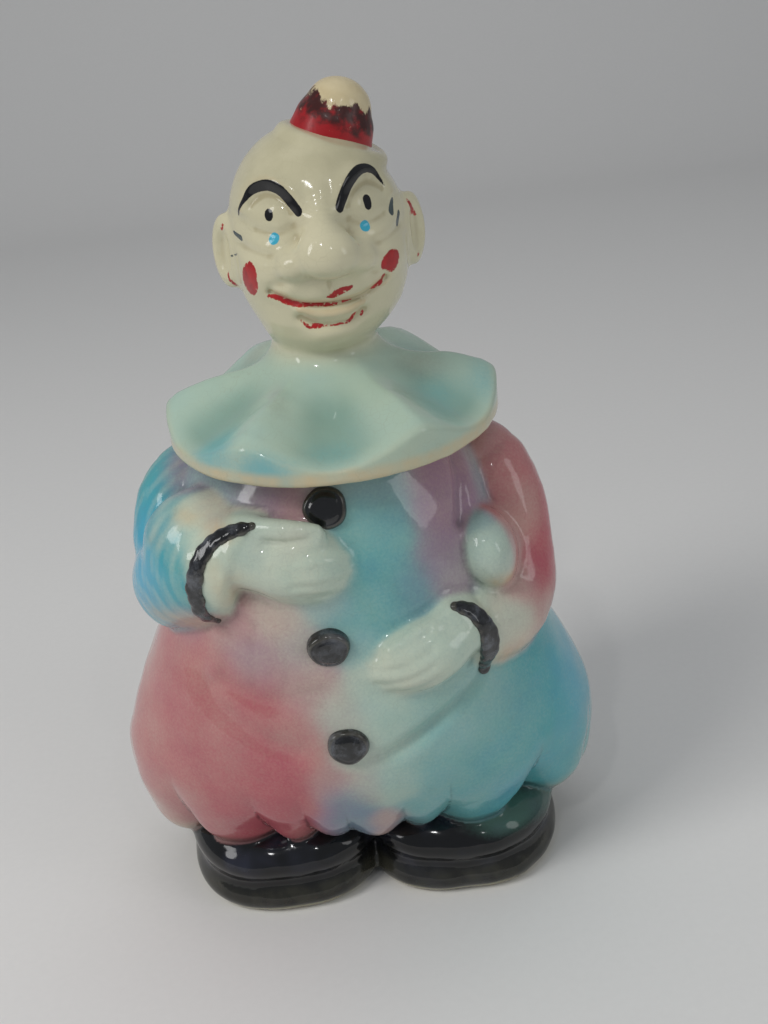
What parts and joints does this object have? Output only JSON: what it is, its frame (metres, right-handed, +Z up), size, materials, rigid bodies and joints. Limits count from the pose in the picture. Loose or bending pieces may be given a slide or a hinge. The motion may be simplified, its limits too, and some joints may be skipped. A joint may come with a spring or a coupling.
{
  "type": "figural coin bank",
  "caption": "Glazed earthenware coin bank shaped as a stout clown in a full robe, with a lift-off head and wide collar, a coin slot in the back and a rubber stopper under the base.",
  "frame": {"origin": "on the table, under the middle of the whole object's width and depth", "axes": "+Z up, the clown faces -Y, +X is the clown's left side"},
  "size_m": [0.1746, 0.1179, 0.2813],
  "materials": {
    "robe_glaze": "clear gloss glaze over airbrushed turquoise, rose and cream",
    "collar_glaze": "clear gloss glaze over airbrushed sea green, crazed, tan where it thins at the edge",
    "cream_glaze": "cream gloss glaze with fine crazing",
    "black_glaze": "high-gloss black",
    "hat_paint": "worn red paint over cream glaze",
    "stopper_rubber": "matt moulded rubber"
  },
  "bodies": {
    "figure": {"robe_shell": "robe_glaze", "sleeve_right": "robe_glaze", "sleeve_left": "robe_glaze", "cuff_right": "black_glaze", "cuff_left": "black_glaze", "hand_right": "cream_glaze", "hand_left": "cream_glaze", "button_top": "black_glaze", "button_middle": "black_glaze", "button_bottom": "black_glaze", "shoe_right": "black_glaze", "shoe_left": "black_glaze"},
    "stopper": {"base_stopper": "stopper_rubber"},
    "head_top": {"collar": "collar_glaze", "lid_ring": "cream_glaze", "head": "cream_glaze", "ear_right": "cream_glaze", "ear_left": "cream_glaze", "hat": "hat_paint"}
  },
  "joints": [
    {"name": "head_lift", "type": "slide", "parent": "figure", "child": "head_top", "axis": [0, 0, 1], "range_m": [0, 0.05]},
    {"name": "stopper_pull", "type": "slide", "parent": "figure", "child": "stopper", "axis": [0, 0, -1], "range_m": [0, 0.02]}
  ]
}
